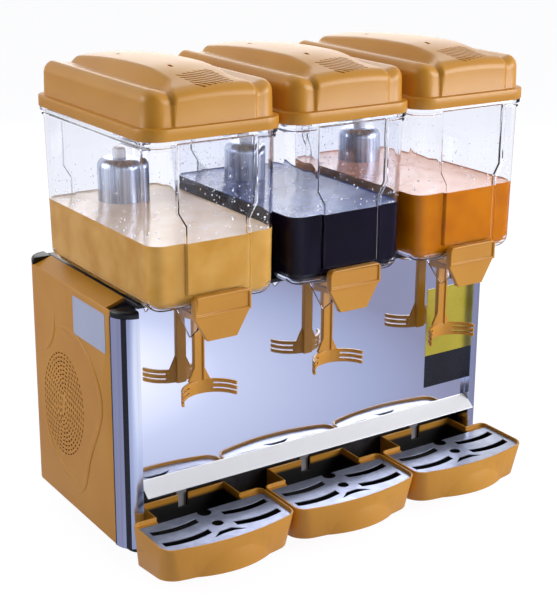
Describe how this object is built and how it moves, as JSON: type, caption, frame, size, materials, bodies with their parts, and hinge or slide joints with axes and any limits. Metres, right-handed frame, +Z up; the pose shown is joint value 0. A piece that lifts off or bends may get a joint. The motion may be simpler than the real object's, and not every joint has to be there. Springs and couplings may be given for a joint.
{
  "type": "refrigerated juice dispenser",
  "caption": "Counter-top chilled juice dispenser with clear lift-off bowls over a mirror-fronted cabinet, push-lever taps and pull-out drip trays.",
  "frame": {"origin": "on the counter, under the middle of the machine's overall box", "axes": "+X to the right of someone facing the taps, +Y to the rear, +Z up"},
  "size_m": [0.5764, 0.3799, 0.619],
  "materials": {
    "tan_plastic": "satin moulded",
    "clear_plastic": "clear",
    "black_plastic": "satin",
    "white_plastic": "satin",
    "mirror_steel": "mirror polished",
    "grid_steel": "polished",
    "evaporator_steel": "spun",
    "pillar_aluminium": "bright anodised",
    "sheet_steel": "galvanised",
    "fin_aluminium": "bare",
    "compressor_paint": "gloss",
    "motor_metal": "satin",
    "copper": "drawn",
    "spring_steel": "drawn",
    "seal_rubber": "matt"
  },
  "bodies": {
    "cabinet": {"evaporators": "evaporator_steel", "dome_caps": "white_plastic", "bowl_gaskets": "seal_rubber", "drive_motors": "motor_metal", "tray_clips": "white_plastic", "side_panel_left": "tan_plastic", "side_panel_right": "tan_plastic", "pillar_left": "pillar_aluminium", "pillar_right": "pillar_aluminium", "pillar_stripes": "black_plastic", "corner_caps": "black_plastic", "front_panel": "mirror_steel", "rear_panel": "sheet_steel", "top_deck": "black_plastic", "base_tray": "sheet_steel", "feet": "seal_rubber", "condenser": "fin_aluminium", "fan_shroud": "sheet_steel", "fan_motor": "motor_metal", "compressor": "compressor_paint", "filter_drier": "copper", "refrigerant_pipes": "copper", "control_box": "black_plastic", "switch_plate": "black_plastic", "mains_inlet": "black_plastic", "panel_screws": "spring_steel"},
    "bowl_left": {"bowl_left": "clear_plastic", "tap_cover_left": "tan_plastic", "tap_spring_left": "spring_steel"},
    "lid_left": {"lid_left": "tan_plastic"},
    "lever_left": {"tap_lever_left": "tan_plastic"},
    "plunger_left": {"tap_plunger_left": "white_plastic"},
    "drive_magnet_left": {"drive_magnet_left": "motor_metal"},
    "impeller_left": {"impeller_left": "white_plastic"},
    "tray_left": {"drip_tray_left": "tan_plastic"},
    "grid_left": {"drip_grid_left": "grid_steel"},
    "bowl_middle": {"bowl_middle": "clear_plastic", "tap_cover_middle": "tan_plastic", "tap_spring_middle": "spring_steel"},
    "lid_middle": {"lid_middle": "tan_plastic"},
    "lever_middle": {"tap_lever_middle": "tan_plastic"},
    "plunger_middle": {"tap_plunger_middle": "white_plastic"},
    "drive_magnet_middle": {"drive_magnet_middle": "motor_metal"},
    "impeller_middle": {"impeller_middle": "white_plastic"},
    "tray_middle": {"drip_tray_middle": "tan_plastic"},
    "grid_middle": {"drip_grid_middle": "grid_steel"},
    "bowl_right": {"bowl_right": "clear_plastic", "tap_cover_right": "tan_plastic", "tap_spring_right": "spring_steel"},
    "lid_right": {"lid_right": "tan_plastic"},
    "lever_right": {"tap_lever_right": "tan_plastic"},
    "plunger_right": {"tap_plunger_right": "white_plastic"},
    "drive_magnet_right": {"drive_magnet_right": "motor_metal"},
    "impeller_right": {"impeller_right": "white_plastic"},
    "tray_right": {"drip_tray_right": "tan_plastic"},
    "grid_right": {"drip_grid_right": "grid_steel"},
    "fan": {"fan_blade": "black_plastic"},
    "thermostat": {"thermostat_knob": "black_plastic"},
    "rocker_power": {"rocker_power": "black_plastic"},
    "rocker_mixing": {"rocker_mixing": "black_plastic"}
  },
  "joints": [
    {"name": "bowl_lift_left", "type": "slide", "parent": "cabinet", "child": "bowl_left", "axis": [0, 0, 1], "range_m": [0, 0.14]},
    {"name": "lid_lift_left", "type": "slide", "parent": "bowl_left", "child": "lid_left", "axis": [0, 0, 1], "range_m": [0, 0.06]},
    {"name": "tap_push_left", "type": "hinge", "parent": "bowl_left", "child": "lever_left", "pos_m": [-0.19, -0.1395, 0.33], "axis": [1, 0, 0], "range_deg": [0, 8.5], "stiffness_Nm_per_rad": 2, "deforming": ["tap_spring_left"]},
    {"name": "plunger_rise_left", "type": "slide", "parent": "bowl_left", "child": "plunger_left", "axis": [0, 0, 1], "range_m": [0, 0.002]},
    {"name": "drive_spin_left", "type": "hinge", "parent": "cabinet", "child": "drive_magnet_left", "pos_m": [-0.19, 0.002, 0.326], "axis": [0, 0, 1], "continuous": true},
    {"name": "impeller_spin_left", "type": "hinge", "parent": "bowl_left", "child": "impeller_left", "pos_m": [-0.19, 0.002, 0.351], "axis": [0, 0, 1], "continuous": true},
    {"name": "tray_slide_left", "type": "slide", "parent": "cabinet", "child": "tray_left", "axis": [0, -1, 0], "range_m": [0, 0.1]},
    {"name": "grid_lift_left", "type": "slide", "parent": "tray_left", "child": "grid_left", "axis": [0, 0, 1], "range_m": [0, 0.05]},
    {"name": "bowl_lift_middle", "type": "slide", "parent": "cabinet", "child": "bowl_middle", "axis": [0, 0, 1], "range_m": [0, 0.14]},
    {"name": "lid_lift_middle", "type": "slide", "parent": "bowl_middle", "child": "lid_middle", "axis": [0, 0, 1], "range_m": [0, 0.06]},
    {"name": "tap_push_middle", "type": "hinge", "parent": "bowl_middle", "child": "lever_middle", "pos_m": [0, -0.1395, 0.33], "axis": [1, 0, 0], "range_deg": [0, 8.5], "stiffness_Nm_per_rad": 2, "deforming": ["tap_spring_middle"]},
    {"name": "plunger_rise_middle", "type": "slide", "parent": "bowl_middle", "child": "plunger_middle", "axis": [0, 0, 1], "range_m": [0, 0.002]},
    {"name": "drive_spin_middle", "type": "hinge", "parent": "cabinet", "child": "drive_magnet_middle", "pos_m": [0, 0.002, 0.326], "axis": [0, 0, 1], "continuous": true},
    {"name": "impeller_spin_middle", "type": "hinge", "parent": "bowl_middle", "child": "impeller_middle", "pos_m": [0, 0.002, 0.351], "axis": [0, 0, 1], "continuous": true},
    {"name": "tray_slide_middle", "type": "slide", "parent": "cabinet", "child": "tray_middle", "axis": [0, -1, 0], "range_m": [0, 0.1]},
    {"name": "grid_lift_middle", "type": "slide", "parent": "tray_middle", "child": "grid_middle", "axis": [0, 0, 1], "range_m": [0, 0.05]},
    {"name": "bowl_lift_right", "type": "slide", "parent": "cabinet", "child": "bowl_right", "axis": [0, 0, 1], "range_m": [0, 0.14]},
    {"name": "lid_lift_right", "type": "slide", "parent": "bowl_right", "child": "lid_right", "axis": [0, 0, 1], "range_m": [0, 0.06]},
    {"name": "tap_push_right", "type": "hinge", "parent": "bowl_right", "child": "lever_right", "pos_m": [0.19, -0.1395, 0.33], "axis": [1, 0, 0], "range_deg": [0, 8.5], "stiffness_Nm_per_rad": 2, "deforming": ["tap_spring_right"]},
    {"name": "plunger_rise_right", "type": "slide", "parent": "bowl_right", "child": "plunger_right", "axis": [0, 0, 1], "range_m": [0, 0.002]},
    {"name": "drive_spin_right", "type": "hinge", "parent": "cabinet", "child": "drive_magnet_right", "pos_m": [0.19, 0.002, 0.326], "axis": [0, 0, 1], "continuous": true},
    {"name": "impeller_spin_right", "type": "hinge", "parent": "bowl_right", "child": "impeller_right", "pos_m": [0.19, 0.002, 0.351], "axis": [0, 0, 1], "continuous": true},
    {"name": "tray_slide_right", "type": "slide", "parent": "cabinet", "child": "tray_right", "axis": [0, -1, 0], "range_m": [0, 0.1]},
    {"name": "grid_lift_right", "type": "slide", "parent": "tray_right", "child": "grid_right", "axis": [0, 0, 1], "range_m": [0, 0.05]},
    {"name": "fan_spin", "type": "hinge", "parent": "cabinet", "child": "fan", "pos_m": [-0.218, 0.085, 0.129], "axis": [1, 0, 0], "continuous": true},
    {"name": "thermostat_turn", "type": "hinge", "parent": "cabinet", "child": "thermostat", "pos_m": [-0.096, 0.176, 0.087], "axis": [0, 1, 0], "range_deg": [0, 270]},
    {"name": "rocker_tip_power", "type": "hinge", "parent": "cabinet", "child": "rocker_power", "pos_m": [-0.07, 0.1785, 0.087], "axis": [1, 0, 0], "range_deg": [0, 14]},
    {"name": "rocker_tip_mixing", "type": "hinge", "parent": "cabinet", "child": "rocker_mixing", "pos_m": [-0.044, 0.1785, 0.087], "axis": [1, 0, 0], "range_deg": [0, 14]}
  ],
  "couplings": [
    {"joint": "plunger_rise_left", "follows": "tap_push_left", "m_per_rad": 0.012},
    {"joint": "impeller_spin_left", "follows": "drive_spin_left", "ratio": 1},
    {"joint": "plunger_rise_middle", "follows": "tap_push_middle", "m_per_rad": 0.012},
    {"joint": "impeller_spin_middle", "follows": "drive_spin_middle", "ratio": 1},
    {"joint": "plunger_rise_right", "follows": "tap_push_right", "m_per_rad": 0.012},
    {"joint": "impeller_spin_right", "follows": "drive_spin_right", "ratio": 1}
  ]
}
